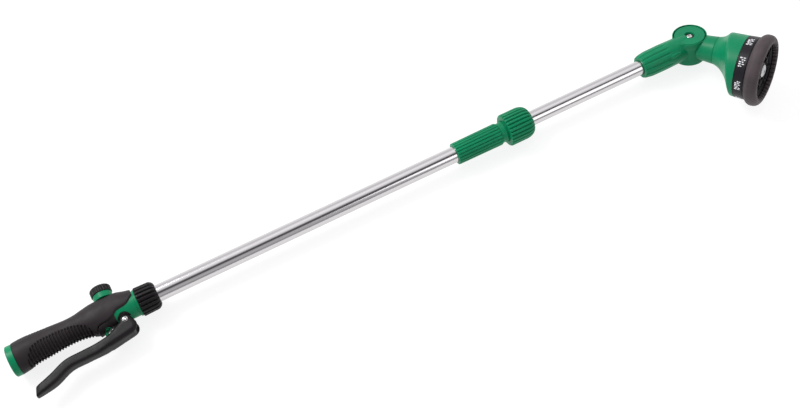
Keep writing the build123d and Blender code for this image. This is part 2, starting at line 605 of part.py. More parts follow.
with BuildPart() as spray_plate:
    ring(along_dial, SPRAY_LOW - 4, SPRAY_HIGH, BAND_WALL)
    ring(along_dial, SPRAY_LOW - 4, SPRAY_LOW, 30.6, mode=Mode.SUBTRACT)
    with BuildSketch(across(along_dial, SPRAY_LOW)):
        for radius, count in ((12.0, 12), (18.0, 18), (24.0, 24)):
            with PolarLocations(radius, count):
                Circle(0.8)
    extrude(amount=3, mode=Mode.SUBTRACT)
    ring(along_dial, SPRAY_LOW, SPRAY_HIGH, 4.0, mode=Mode.SUBTRACT)
finish(spray_plate, "spray_plate")

with BuildPart() as spray_hub:
    ring(along_dial, SPRAY_LOW, SPRAY_HIGH, 4.0, 1.5)
    ring(along_dial, SPRAY_HIGH, SPRAY_HIGH + 2.4, 8.0, 1.5)
finish(spray_hub, "spray_hub")
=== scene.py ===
import json
from math import acos, atan2, copysign, cos, degrees, floor, pi, radians, sin, sqrt, tau

import bmesh
import bpy
from mathutils import Matrix, Vector


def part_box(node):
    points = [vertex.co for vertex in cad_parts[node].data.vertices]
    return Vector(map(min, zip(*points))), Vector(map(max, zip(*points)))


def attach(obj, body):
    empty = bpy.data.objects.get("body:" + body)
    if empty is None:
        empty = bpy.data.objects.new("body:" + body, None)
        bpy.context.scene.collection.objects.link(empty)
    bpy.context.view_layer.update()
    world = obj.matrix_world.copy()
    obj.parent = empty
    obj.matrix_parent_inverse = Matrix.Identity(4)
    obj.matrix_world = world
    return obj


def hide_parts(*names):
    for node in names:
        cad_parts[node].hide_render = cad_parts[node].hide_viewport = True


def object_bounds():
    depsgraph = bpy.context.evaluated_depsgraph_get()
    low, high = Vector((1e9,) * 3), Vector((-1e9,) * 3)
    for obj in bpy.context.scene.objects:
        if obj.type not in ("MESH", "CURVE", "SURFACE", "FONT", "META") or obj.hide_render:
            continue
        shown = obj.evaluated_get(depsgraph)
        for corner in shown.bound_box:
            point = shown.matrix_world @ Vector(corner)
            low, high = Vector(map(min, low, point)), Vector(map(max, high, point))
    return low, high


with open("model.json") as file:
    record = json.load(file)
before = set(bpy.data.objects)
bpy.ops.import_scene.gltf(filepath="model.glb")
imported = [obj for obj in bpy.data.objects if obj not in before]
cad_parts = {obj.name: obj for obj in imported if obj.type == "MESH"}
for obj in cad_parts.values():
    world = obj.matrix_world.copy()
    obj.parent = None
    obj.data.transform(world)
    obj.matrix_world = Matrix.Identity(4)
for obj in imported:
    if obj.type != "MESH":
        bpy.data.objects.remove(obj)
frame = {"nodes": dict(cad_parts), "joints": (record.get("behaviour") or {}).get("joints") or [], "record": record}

cad_low, cad_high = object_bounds()

# Telescopic watering wand on a pale studio floor. Sizes below are in millimetres, in the frame
# of the CAD model: +X along the tubes from the hose end, +Y to the thumb side, +Z up.
MM = 0.001
CORNER_STEPS = 4
STEM_WIDEST_R = 4.6
scene = bpy.context.scene


# ---- places that come from the frame -----------------------------------------------------
def joint(name):
    return next(j for j in frame["joints"] if j["name"] == name)


def plane_at(origin, along, up):
    """Matrix whose x runs along a turning axis; origin in millimetres."""
    along = Vector(along).normalized()
    up = Vector(up)
    up = (up - along * up.dot(along)).normalized()
    turn = Matrix((along, up, along.cross(up))).transposed().to_4x4()
    return Matrix.Translation(Vector(origin)) @ turn


pivot = Vector(joint("head_tilt")["pos_m"]) / MM
pivot_dir = Vector(joint("head_tilt")["axis"])
dial_point = Vector(joint("dial_turn")["pos_m"]) / MM
head_dir = Vector(joint("dial_turn")["axis"])
shift_dir = (dial_point - pivot).normalized()

TUBE = plane_at((0, 0, 0), (1, 0, 0), (0, 1, 0))
KNOB = plane_at(Vector(joint("knob_turn")["pos_m"]) / MM, (0, 1, 0), (0, 0, 1))
STEM = plane_at((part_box("valve_stem")[0][0] / MM + STEM_WIDEST_R, 0, 0), (0, 1, 0), (0, 0, 1))
PIN = plane_at(Vector(joint("lever_pull")["pos_m"]) / MM, (0, 0, 1), (1, 0, 0))
DRUM = plane_at(pivot, pivot_dir, (1, 0, 0))
NECK = plane_at(pivot, head_dir, pivot_dir)
DIAL = plane_at(dial_point, head_dir, pivot_dir)


# ---- mesh helpers --------------------------------------------------------------------------
def weigh_normals(piece):
    """Keeps the flat faces of a piece flat beside its rounded edges."""
    normals = piece.modifiers.new("normals", "WEIGHTED_NORMAL")
    normals.keep_sharp = True


def finish_mesh(name, bm, flat_edges=0, weighted=True):
    """Turns a bmesh in millimetres into an object in metres, with clean normals."""
    bmesh.ops.remove_doubles(bm, verts=bm.verts, dist=1e-4)
    bmesh.ops.recalc_face_normals(bm, faces=bm.faces)
    bmesh.ops.scale(bm, vec=(MM, MM, MM), verts=bm.verts)
    for face in bm.faces:
        face.smooth = True
    if flat_edges:
        for edge in bm.edges:
            if len(edge.link_faces) == 2 and edge.calc_face_angle() > radians(flat_edges):
                edge.smooth = False
    mesh = bpy.data.meshes.new(name)
    bm.to_mesh(mesh)
    bm.free()
    piece = bpy.data.objects.new(name, mesh)
    scene.collection.objects.link(piece)
    if weighted:
        weigh_normals(piece)
    return piece


def skin(bm, rows, ring=True, torus=False, ends=True):
    """Quads over a grid of points: each row is one section."""
    grid = [[bm.verts.new(p) for p in row] for row in rows]
    count = len(grid[0])
    last = len(grid) if torus else len(grid) - 1
    for i in range(last):
        below, above = grid[i], grid[(i + 1) % len(grid)]
        for j in range(count if ring else count - 1):
            k = (j + 1) % count
            bm.faces.new((below[j], below[k], above[k], above[j]))
    if ends and not torus:
        bm.faces.new(list(reversed(grid[0])))
        bm.faces.new(grid[-1])


def rounded(points):
    """Closed outline with its corners rounded; a point is (along, radius, corner radius, rib share)."""
    out = []
    for i, point in enumerate(points):
        here = Vector(point[:2])
        share = point[3] if len(point) > 3 else 0.0
        size = point[2] if len(point) > 2 else 0.0
        if size <= 0:
            out.append((*here, share))
            continue
        before, after = Vector(points[i - 1][:2]), Vector(points[(i + 1) % len(points)][:2])
        reach_in = min(size, (before - here).length * 0.45)
        reach_out = min(size, (after - here).length * 0.45)
        start = here + (before - here).normalized() * reach_in
        end = here + (after - here).normalized() * reach_out
        for step in range(CORNER_STEPS + 1):
            t = step / CORNER_STEPS
            spot = start * (1 - t) ** 2 + here * 2 * t * (1 - t) + end * t ** 2
            out.append((*spot, share))
    return out


def pulse(turn, count, width):
    """1 in the middle of each of so many grooves round a circle, falling smoothly to 0."""
    t = turn * count / tau
    t = abs(t - floor(t) - 0.5)
    return 0.5 * (1 + cos(2 * pi * t / width)) if t < width / 2 else 0.0


def lathe_into(bm, place, points, segments=96, ribs=0, depth=0.0, width=0.6):
    """Turned solid from a closed outline, with grooves cut where the outline's rib share says."""
    rows = []
    for along, radius, share in rounded(points):
        row = []
        for j in range(segments):
            turn = tau * j / segments
            cut = depth * share * pulse(turn, ribs, width) if ribs else 0.0
            reach = radius - cut
            row.append(place @ Vector((along, reach * cos(turn), reach * sin(turn))))
        rows.append(row)
    skin(bm, rows, torus=True)


def lathe(name, place, points, **more):
    """Finished piece from lathe_into."""
    bm = bmesh.new()
    lathe_into(bm, place, points, **more)
    return finish_mesh(name, bm)


def disc_into(bm, place, points, segments=96):
    """Solid turned piece whose outline starts and ends on the axis."""
    rows = []
    for along, radius, _ in rounded(points)[1:-1]:
        turns = [tau * j / segments for j in range(segments)]
        rows.append([place @ Vector((along, radius * cos(t), radius * sin(t))) for t in turns])
    skin(bm, rows)


def box_into(bm, place, low, high):
    """Block between two corners of a local frame."""
    corners = [(low[0], low[1]), (high[0], low[1]), (high[0], high[1]), (low[0], high[1])]
    rows = [[place @ Vector((a, b, c)) for a, b in corners] for c in (low[2], high[2])]
    skin(bm, rows)


def new_part(build, *args, **more):
    """Object to be cut or melted, from one of the mesh functions."""
    bm = bmesh.new()
    build(bm, *args, **more)
    return finish_mesh("temporary", bm, weighted=False)


def apply_modifiers(piece):
    """Makes a piece's modifiers part of its mesh."""
    view = bpy.context.evaluated_depsgraph_get()
    view.update()
    mesh = bpy.data.meshes.new_from_object(piece.evaluated_get(view))
    old = piece.data
    piece.modifiers.clear()
    piece.data = mesh
    bpy.data.meshes.remove(old)


def cut(piece, tool):
    """Cuts one solid from another, and throws the tool away."""
    boolean = piece.modifiers.new("cut", "BOOLEAN")
    boolean.operation = "DIFFERENCE"
    boolean.solver = "EXACT"
    boolean.object = tool
    apply_modifiers(piece)
    bpy.data.objects.remove(tool)


def moulded(name, solids, grain, soften):
    """One moulded piece: solids melted together, on a grid of so many millimetres, and smoothed."""
    piece = solids[0]
    piece.name = name
    for other in solids[1:]:
        bm = bmesh.new()
        bm.from_mesh(piece.data)
        bm.from_mesh(other.data)
        bm.to_mesh(piece.data)
        bm.free()
        bpy.data.objects.remove(other)
    fuse = piece.modifiers.new("fuse", "REMESH")
    fuse.mode = "VOXEL"
    fuse.voxel_size = grain * MM
    apply_modifiers(piece)
    smooth = piece.modifiers.new("soften", "SMOOTH")
    smooth.factor = 0.5
    smooth.iterations = soften
    apply_modifiers(piece)
    for polygon in piece.data.polygons:
        polygon.use_smooth = True
    return piece


def mix(points, x):
    """Smooth value between (place, value) pairs."""
    if x <= points[0][0]:
        return points[0][1]
    for (x0, y0), (x1, y1) in zip(points, points[1:]):
        if x <= x1:
            t = (x - x0) / (x1 - x0)
            return y0 + (y1 - y0) * t * t * (3 - 2 * t)
    return points[-1][1]


def curve_through(points, x):
    """Catmull-Rom value between (place, value) pairs."""
    xs = [p[0] for p in points]
    if x <= xs[0]:
        return points[0][1]
    if x >= xs[-1]:
        return points[-1][1]
    i = max(k for k in range(len(xs) - 1) if xs[k] <= x)
    x0, x1 = xs[i], xs[i + 1]
    y0, y1 = points[i][1], points[i + 1][1]
    before, after = points[max(i - 1, 0)], points[min(i + 2, len(xs) - 1)]
    m0 = (y1 - before[1]) / (x1 - before[0]) if i > 0 else (y1 - y0) / (x1 - x0)
    m1 = (after[1] - y0) / (after[0] - x0) if i + 2 < len(xs) else (y1 - y0) / (x1 - x0)
    t = (x - x0) / (x1 - x0)
    span = x1 - x0
    return ((2 * t ** 3 - 3 * t ** 2 + 1) * y0 + (t ** 3 - 2 * t ** 2 + t) * span * m0
            + (3 * t ** 2 - 2 * t ** 3) * y1 + (t ** 3 - t ** 2) * span * m1)


# ---- materials -----------------------------------------------------------------------------
class Nodes:
    """A node material with short ways to add what these materials share."""

    def __init__(self, name):
        self.material = bpy.data.materials.new(name)
        self.material.use_nodes = True
        self.tree = self.material.node_tree
        self.shader = self.tree.nodes["Principled BSDF"]
        self.place = self.tree.nodes.new("ShaderNodeTexCoord").outputs["Object"]

    def link(self, source, target):
        self.tree.links.new(source, target)

    def stretch(self, x, y, z):
        """Coordinates scaled along the axes, for grain that runs one way."""
        node = self.tree.nodes.new("ShaderNodeMapping")
        node.inputs["Scale"].default_value = (x, y, z)
        self.link(self.place, node.inputs["Vector"])
        return node.outputs["Vector"]

    def noise(self, scale, detail=3.0, rough=0.55, vector=None):
        node = self.tree.nodes.new("ShaderNodeTexNoise")
        node.inputs["Scale"].default_value = scale
        node.inputs["Detail"].default_value = detail
        node.inputs["Roughness"].default_value = rough
        self.link(vector or self.place, node.inputs["Vector"])
        return node.outputs["Fac"]

    def ramp(self, factor, stops):
        node = self.tree.nodes.new("ShaderNodeValToRGB")
        ramp = node.color_ramp
        while len(ramp.elements) < len(stops):
            ramp.elements.new(0.5)
        for element, (at, colour) in zip(ramp.elements, stops):
            element.position = at
            element.color = (*colour, 1.0)
        self.link(factor, node.inputs["Fac"])
        return node.outputs["Color"]

    def between(self, factor, low, high):
        node = self.tree.nodes.new("ShaderNodeMapRange")
        node.inputs["From Min"].default_value = 0.3
        node.inputs["From Max"].default_value = 0.7
        node.inputs["To Min"].default_value = low
        node.inputs["To Max"].default_value = high
        self.link(factor, node.inputs["Value"])
        return node.outputs["Result"]

    def add(self, first, second, weight):
        node = self.tree.nodes.new("ShaderNodeMath")
        node.operation = "MULTIPLY_ADD"
        node.inputs[1].default_value = weight
        self.link(second, node.inputs[0])
        self.link(first, node.inputs[2])
        return node.outputs["Value"]

    def bump(self, height, distance, strength):
        node = self.tree.nodes.new("ShaderNodeBump")
        node.inputs["Strength"].default_value = strength
        node.inputs["Distance"].default_value = distance
        self.link(height, node.inputs["Height"])
        self.link(node.outputs["Normal"], self.shader.inputs["Normal"])

    def set(self, name, value):
        self.shader.inputs[name].default_value = value


def shade(colour, factor):
    """Lighter or darker tone of a colour."""
    return tuple(min(1.0, c * factor) for c in colour)


def moulded_plastic(name, colour, rough, spread=0.12):
    """Moulded plastic: slight clouding in the colour, fine spark-eroded grain, uneven gloss."""
    look = Nodes(name)
    cloud = look.noise(35, 4)
    fine = look.noise(1400, 2)
    colours = look.ramp(look.add(cloud, fine, 0.12), [
        (0.30, shade(colour, 1 - spread)), (0.52, colour), (0.75, shade(colour, 1 + spread)),
    ])
    look.link(colours, look.shader.inputs["Base Color"])
    smudge = look.noise(90, 5, 0.65)
    look.link(look.between(smudge, *rough), look.shader.inputs["Roughness"])
    look.bump(fine, 0.00003, 0.5)
    look.set("Specular IOR Level", 0.17)
    return look.material


def soft_rubber(name, colour, rough=(0.48, 0.66), grain=2600):
    """Overmoulded soft grip: dusty dark rubber with a fine stipple and rubbed patches."""
    look = Nodes(name)
    cloud = look.noise(28, 5, 0.6)
    stipple = look.noise(grain, 2, 0.7)
    colours = look.ramp(look.add(cloud, stipple, 0.2), [
        (0.32, shade(colour, 0.78)), (0.56, colour), (0.80, shade(colour, 1.35)),
    ])
    look.link(colours, look.shader.inputs["Base Color"])
    look.link(look.between(look.noise(60, 4, 0.6), *rough), look.shader.inputs["Roughness"])
    look.bump(stipple, 0.00006, 0.6)
    look.set("Specular IOR Level", 0.24)
    return look.material


def drawn_metal(name, colour):
    """Drawn bright tube: fine lines along it, faint handling marks."""
    look = Nodes(name)
    lines = look.noise(1.0, 4, 0.6, look.stretch(6, 900, 900))
    marks = look.noise(70, 6, 0.7)
    colours = look.ramp(look.add(lines, marks, 0.3), [
        (0.35, shade(colour, 0.93)), (0.62, colour), (0.90, shade(colour, 1.05)),
    ])
    look.link(colours, look.shader.inputs["Base Color"])
    look.link(look.between(look.add(marks, lines, 0.35), 0.07, 0.15), look.shader.inputs["Roughness"])
    look.bump(lines, 0.000012, 0.35)
    look.set("Metallic", 1.0)
    return look.material


def plated_metal(name, colour, rough=(0.10, 0.26)):
    """Bright screws and turned parts, with fine scratches."""
    look = Nodes(name)
    fine = look.noise(420, 5, 0.7)
    colours = look.ramp(fine, [(0.3, shade(colour, 0.86)), (0.7, colour)])
    look.link(colours, look.shader.inputs["Base Color"])
    look.link(look.between(look.noise(168, 4), *rough), look.shader.inputs["Roughness"])
    look.bump(fine, 0.00001, 0.4)
    look.set("Metallic", 1.0)
    return look.material


GREEN = (0.0025, 0.200, 0.086)
green = moulded_plastic("green_plastic", GREEN, rough=(0.30, 0.44))
grip_rubber = soft_rubber("grip_rubber", (0.0165, 0.0128, 0.0150))
black = moulded_plastic("black_plastic", (0.0088, 0.0074, 0.0086), rough=(0.34, 0.48), spread=0.25)
band_black = moulded_plastic("band_black", (0.0115, 0.0110, 0.0145), rough=(0.32, 0.45), spread=0.25)
bezel_rubber = soft_rubber("bezel_rubber", (0.058, 0.045, 0.049), rough=(0.5, 0.7), grain=1900)
tube_metal = drawn_metal("tube_aluminium", (0.62, 0.60, 0.615))
chrome = plated_metal("screw_chrome", (0.62, 0.60, 0.60))
steel = plated_metal("inner_steel", (0.50, 0.50, 0.52), rough=(0.2, 0.4))
brass = plated_metal("seat_brass", (0.70, 0.50, 0.20), rough=(0.2, 0.35))
acetal = moulded_plastic("inner_plastic", (0.70, 0.69, 0.65), rough=(0.35, 0.5), spread=0.05)
seal = soft_rubber("seal_rubber", (0.014, 0.014, 0.015), rough=(0.4, 0.55))
mark_paint = moulded_plastic("mark_paint", (0.80, 0.80, 0.84), rough=(0.45, 0.6), spread=0.04)

SLOT_LOOKS = {
    "green_plastic": green, "soft_grip": grip_rubber, "black_plastic": black, "bezel_rubber": bezel_rubber,
    "tube_aluminium": tube_metal, "screw_chrome": chrome, "inner_plastic": acetal, "inner_steel": steel,
    "seal_rubber": seal, "seat_brass": brass,
}
for part in frame["record"]["subparts"]:
    carried = frame["nodes"][part["node"]]
    carried.data.materials.clear()
    carried.data.materials.append(SLOT_LOOKS[part["material_slot"]])


def dress(piece, look, slot, body, *nodes):
    """Gives a piece its material, the body that it rides on and hides the nodes that it stands for; the slot
    argument is not used.
    """
    piece.data.materials.clear()
    piece.data.materials.append(look)
    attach(piece, body)
    if nodes:
        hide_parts(*nodes)
    return piece


# ---- handle: grip cover ----------------------------------------------------------------------
# sections along the grip: place, centre height, half height, half width
GRIP = [
    (7.3, 0.4, 17.6, 17.2), (16.0, 1.5, 17.5, 16.6), (26.0, 2.6, 16.6, 15.4), (38.0, 2.8, 15.9, 14.6),
    (52.0, 3.0, 14.7, 14.0), (66.0, 3.0, 13.9, 13.8), (76.0, 3.0, 14.4, 14.3), (86.0, 3.0, 16.4, 15.2),
    (96.0, 2.4, 18.8, 16.1), (110.0, 2.6, 18.9, 16.5), (124.0, 2.6, 18.6, 16.2), (133.0, 1.4, 17.2, 15.5),
    (140.0, 0.6, 16.2, 15.0),
]
# height of the cover's free edge, from where it leaves the lever side
SKIRT = [(93.0, -15.6), (95.5, -12.2), (99.0, -11.0), (108.5, -10.1), (113.5, -8.2), (119.5, -4.4),
         (132.0, -2.0), (141.0, 6.0)]
# radius of the dark surface beyond that edge, which the lever's front lies over: painted shade, black grip surface
# laid over the body where the body lies in shadow
SHADE_WELL = [(93.0, 17.6), (100.0, 16.6), (104.0, 15.4), (107.0, 14.1), (114.5, 14.05), (119.5, 12.6)]
# how far round from the thumb side the finger ribs start, degrees
RIB_LINE = [(16.0, 158), (21.0, 120), (27.0, 97), (37.0, 89), (58.0, 88), (68.0, 92), (77.0, 101),
            (84.0, 114), (91.0, 150)]
RIB_START, RIB_END, RIB_PITCH, RIB_DEPTH, RIB_FADE = 16.5, 90.0, 3.3, 1.7, 5
# the shallow ribs on the thumb side: where along the grip, and how far round
TOP_RIBS, TOP_RIB_PITCH, TOP_RIB_DEPTH, TOP_RIB_EDGE = (25.0, 47.0), 3.0, 0.8, (22, 36)
LIP_DEPTH, LIP_ANGLE, EDGE_ANGLE = 1.7, 9, 0.6
ALONG_STEPS, ROUND_STEPS, SHADE_WELL_STEPS = 380, 48, 8


def skirt_angle(x, middle, high):
    """Angle from the thumb side at which the cover's free edge runs."""
    if x <= SKIRT[0][0]:
        return 180.0
    share = (curve_through(SKIRT, x) - middle) / high
    return degrees(acos(max(-1.0, min(1.0, share))))


def step_up(value, low, high):
    """0 below the first bound, 1 above the second, and smooth between."""
    t = max(0.0, min(1.0, (value - low) / (high - low)))
    return t * t * (3 - 2 * t)


def groove(x, start, pitch):
    """1 in the middle of a groove between two ribs, 0 on a rib's crest."""
    t = ((x - start) / pitch) % 1.0
    return step_up(0.5 - abs(t - 0.5), 0.12, 0.34)


def rib_depth(x, turn):
    """How deep the grip's surface is cut at a place and an angle from the thumb side."""
    depth = 0.0
    if RIB_START < x < RIB_END:
        share = step_up(turn, mix(RIB_LINE, x), mix(RIB_LINE, x) + RIB_FADE)
        depth += RIB_DEPTH * share * groove(x, RIB_START, RIB_PITCH)
    first, last = TOP_RIBS
    if first < x < last:
        ends = step_up(x, first, first + 2) * (1 - step_up(x, last - 2, last))
        share = 1 - step_up(turn, *TOP_RIB_EDGE)
        depth += TOP_RIB_DEPTH * ends * share * groove(x, first, TOP_RIB_PITCH)
    return depth


def grip_row(x):
    """One ring of the cover: over the thumb side, then along the sunk black surface on the lever side, which is
    painted shade.
    """
    middle, high, wide = (curve_through([(s[0], s[k]) for s in GRIP], x) for k in (1, 2, 3))
    edge = skirt_angle(x, middle, high)
    half = []
    leaves = SKIRT[0][0]
    for j in range(ROUND_STEPS + 1):
        turn = edge * j / ROUND_STEPS
        near = max(0.0, (turn - edge + LIP_ANGLE) / LIP_ANGLE)
        lip = LIP_DEPTH * near ** 2 * step_up(x, leaves, leaves + 3)
        cut_in = rib_depth(x, turn) + lip
        up, side = (high - cut_in) * cos(radians(turn)), (wide - cut_in) * sin(radians(turn))
        half.append(Vector((x, middle + up, side)))
    start = min(180.0, edge + EDGE_ANGLE)
    open_side = step_up(x, leaves, leaves + 1.5)
    # past the free edge the ring sinks to a black surface: painted shade over the body lying in shadow
    for j in range(SHADE_WELL_STEPS + 1):
        turn = radians(start + (180.0 - start) * j / SHADE_WELL_STEPS)
        closed = Vector((x, middle + high * cos(turn), wide * sin(turn)))
        shade_well = Vector((x, mix(SHADE_WELL, x) * cos(turn), mix(SHADE_WELL, x) * sin(turn)))
        half.append(closed.lerp(shade_well, open_side))
    return half + [Vector((p.x, p.y, -p.z)) for p in reversed(half[1:-1])]


def make_grip():
    """Closed cover with a narrow bore, a rounded back edge and a pocket for the flow knob."""
    bm = bmesh.new()
    start, end = GRIP[0][0], GRIP[-1][0]
    rows = [grip_row(start + (end - start) * i / ALONG_STEPS) for i in range(ALONG_STEPS + 1)]
    first, last = rows[0], rows[-1]
    centre = Vector((0, GRIP[0][1], 0))
    lead_in = [[p + (centre - Vector((0, p.y, p.z))).normalized() * 0.6 for p in first]]
    bore = 0.45
    inside = [[Vector((x, y * bore, z * bore)) for _, y, z in row]
              for x, row in ((end, last), (start, first))]
    rows[0] = [p + Vector((0.5, 0, 0)) for p in first]
    skin(bm, lead_in + rows + inside, torus=True)
    grip = finish_mesh("grip_skin", bm, flat_edges=50)
    pocket = new_part(disc_into, KNOB, [(18.6, 0), (18.6, 11.3), (40, 11.3), (40, 0)])
    cut(grip, pocket)
    dress(grip, grip_rubber, "soft_grip", "handle", "grip_cover")


make_grip()


# ---- lever --------------------------------------------------------------------------------
# the long arm's upper and lower edges, station by station, and its half width along X
LEVER_TOP = [(15.8, -38.6), (32.0, -33.6), (51.0, -26.0), (71.0, -24.8), (90.0, -24.2),
             (101.0, -22.6), (107.0, -22.4)]
LEVER_BASE = [(12.2, -50.2), (34.0, -46.0), (54.0, -37.8), (73.0, -37.0), (94.0, -36.2),
              (109.0, -31.6), (120.0, -29.6)]
LEVER_HALF = [(12.0, 4.8), (20.0, 6.4), (32.0, 7.6), (80.0, 7.8), (97.0, 9.5), (112.0, 9.6)]
# discs that the two ears are drawn round, and the bridge that joins the ears below
ARM_END, ARM_END_R = (100.0, -29.6), 5.9
SHOULDER, SHOULDER_R = (119.8, -20.0), 6.4
NOSE, NOSE_R = (125.2, -22.8), 8.4
BRIDGE, BRIDGE_R = (125.2, -27.0), 4.6
EAR_R, EAR_IN, EAR_OUT = 6.9, 5.3, 9.6
ARM_STEPS, ARM_POINTS, ARM_SQUARENESS = 90, 56, 0.45
pin = Vector(joint("lever_pull")["pos_m"]) / MM


def hull_outline(first, first_r, second, second_r, steps=28):
    """Two discs and the straight tangents that join them."""
    a, b = Vector(first), Vector(second)
    line = (b - a).normalized()
    lean = acos((first_r - second_r) / (b - a).length)
    start = atan2(line.y, line.x)
    points = []
    for centre, radius, low, high in ((a, first_r, lean, tau - lean), (b, second_r, -lean, lean)):
        for i in range(steps + 1):
            turn = start + low + (high - low) * i / steps
            points.append((centre.x + radius * cos(turn), centre.y + radius * sin(turn)))
    return points


def rounded_slab(bm, first, first_r, second, second_r, low, high, soft=4.0):
    """Plate round two discs, rounded at each face that looks away from the middle plane."""
    steps = [(t / 6, 1 - sqrt(1 - (1 - t / 6) ** 2)) for t in range(7)]
    from_low = [(low + soft * t, soft * inset) for t, inset in steps]
    from_high = [(high - soft * t, soft * inset) for t, inset in steps]
    if high < 0:
        levels = from_low + [(high, 0.0)]
    elif low > 0:
        levels = from_high + [(low, 0.0)]
    else:
        levels = from_high + from_low[::-1]
    rows = []
    for z, inset in levels:
        outline = hull_outline(first, first_r - inset, second, second_r - inset)
        rows.append([Vector((x, y, z)) for x, y in outline])
    skin(bm, rows)


def lever_arm(bm):
    """The long arm: softly squared sections between its upper and lower edges."""
    rows = []
    for i in range(ARM_STEPS + 1):
        u = i / ARM_STEPS * (len(LEVER_TOP) - 1)
        upper, lower = (Vector([curve_through([(k, p[axis]) for k, p in enumerate(edge)], u)
                                for axis in (0, 1)]) for edge in (LEVER_TOP, LEVER_BASE))
        middle, half = (upper + lower) / 2, (upper - lower) / 2
        row = []
        for j in range(ARM_POINTS):
            turn = tau * j / ARM_POINTS
            up = copysign(abs(cos(turn)) ** ARM_SQUARENESS, cos(turn))
            out = copysign(abs(sin(turn)) ** ARM_SQUARENESS, sin(turn))
            spot = middle + half * up
            row.append(Vector((spot.x, spot.y, mix(LEVER_HALF, middle.x) * out)))
        rows.append(row)
    end = sum(rows[0], Vector()) / len(rows[0])
    rows.insert(0, [end.lerp(p, 0.84) - Vector((0.7, 0, 0)) for p in rows[0]])
    skin(bm, rows)


def make_lever():
    solids = [new_part(lever_arm)]
    bridge = (ARM_END, ARM_END_R, BRIDGE, BRIDGE_R)
    solids.append(new_part(rounded_slab, *bridge, -EAR_OUT, EAR_OUT, soft=BRIDGE_R))
    plates = [
        (tuple(pin.xy), EAR_R, NOSE, NOSE_R),
        (ARM_END, ARM_END_R, SHOULDER, SHOULDER_R),
        (ARM_END, ARM_END_R, NOSE, NOSE_R),
    ]
    for side in (1, -1):
        low, high = sorted((side * EAR_IN, side * EAR_OUT))
        for plate in plates:
            solids.append(new_part(rounded_slab, *plate, low, high))
    lever = moulded("lever_moulding", solids, grain=0.45, soften=14)
    dress(lever, black, "black_plastic", "lever", "lever")


make_lever()


# ---- flow knob -----------------------------------------------------------------------------
KNOB_COLLAR_R, KNOB_CAP_R, KNOB_LOW, CAP_LOW, KNOB_TOP = 10.6, 11.6, 19.4, 26.2, 35.2

knob_ring = lathe("knob_ring", KNOB, [
    (KNOB_LOW, 4.6, 0.2), (KNOB_LOW, KNOB_COLLAR_R, 0.9),
    (CAP_LOW, KNOB_COLLAR_R, 0.1), (CAP_LOW, 4.6, 0.1),
], segments=128)
dress(knob_ring, green, "green_plastic", "flow_knob", "knob_collar")

knob_grip = lathe("knob_grip", KNOB, [
    (CAP_LOW + 0.1, 3.1, 0.1), (CAP_LOW + 0.1, KNOB_CAP_R, 0.5, 0.6), (KNOB_TOP - 1.6, KNOB_CAP_R, 0.8, 1.0),
    (KNOB_TOP - 0.3, KNOB_CAP_R - 1.6, 0.7, 0.7), (KNOB_TOP, KNOB_CAP_R - 3.0, 0.4),
    (KNOB_TOP, 6.4, 0.3), (KNOB_TOP - 0.5, 5.9, 0.3), (KNOB_TOP - 0.5, 0.3, 0.1),
    (34.0, 0.3, 0.1), (34.0, 3.1, 0.1),
], segments=240, ribs=24, depth=0.75, width=0.66)
dress(knob_grip, black, "black_plastic", "flow_knob", "knob_cap")


# ---- tubes and their couplings ---------------------------------------------------------------
NUT_X, NUT_END, NUT_R = 143.3, 165.6, 16.4
SLEEVE_X, SLEEVE_NECK, SLEEVE_R = 531.0, 588.0, 12.9
COLLAR_X, COLLAR_END, COLLAR_R = 596.4, 630.0, 19.3
LOWER_R, UPPER_R = 9.5, 8.8


def make_tube(name, body, radius, bore):
    """Bright tube as long as the CAD's."""
    low, high = (v[0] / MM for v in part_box(name))
    tube = lathe(f"{name}_bright", TUBE, [
        (low, bore, 0.15), (low, radius, 0.25), (high, radius, 0.25), (high, bore, 0.15),
    ], segments=160)
    dress(tube, tube_metal, "tube_aluminium", body, name)


make_tube("lower_tube", "handle", LOWER_R, 8.9)
make_tube("upper_tube", "upper_tube", UPPER_R, 8.1)

nut = lathe("nut_ribbed", TUBE, [
    (NUT_X, 12.9, 0.2), (NUT_X, NUT_R - 0.2, 0.9, 0.4), (NUT_X + 1.6, NUT_R, 0.6, 1.0),
    (161.0, NUT_R - 0.5, 1.2, 1.0), (NUT_END - 1.6, NUT_R - 2.4, 1.2, 0.8), (NUT_END, NUT_R - 5.0, 0.7),
    (NUT_END, LOWER_R + 0.3, 0.3), (160.0, LOWER_R + 0.3, 0.2), (158.0, 12.9, 0.2),
], segments=320, ribs=20, depth=1.9, width=0.6)
dress(nut, black, "black_plastic", "tube_nut", "tube_nut")

sleeve = lathe("sleeve_fluted", TUBE, [
    (SLEEVE_X, LOWER_R + 0.02, 0.2), (SLEEVE_X, SLEEVE_R - 0.1, 0.5, 0.7),
    (SLEEVE_X + 1.2, SLEEVE_R, 0.3, 1.0),
    (SLEEVE_NECK - 1.2, SLEEVE_R + 0.4, 0.4, 1.0), (SLEEVE_NECK, SLEEVE_R - 0.2, 0.5, 0.6),
    (SLEEVE_NECK + 0.6, SLEEVE_R - 1.0, 0.3), (592.4, SLEEVE_R - 1.0, 0.3), (592.9, SLEEVE_R - 0.1, 0.3),
    (594.6, SLEEVE_R - 0.1, 0.3), (594.8, SLEEVE_R - 0.6, 0.2), (608.0, SLEEVE_R - 0.6, 0.3),
    (608.0, UPPER_R + 0.06, 0.2), (590.0, UPPER_R + 0.06, 0.1), (590.0, LOWER_R + 0.02, 0.1),
], segments=336, ribs=21, depth=1.15, width=0.6)
dress(sleeve, green, "green_plastic", "handle", "tube_sleeve")

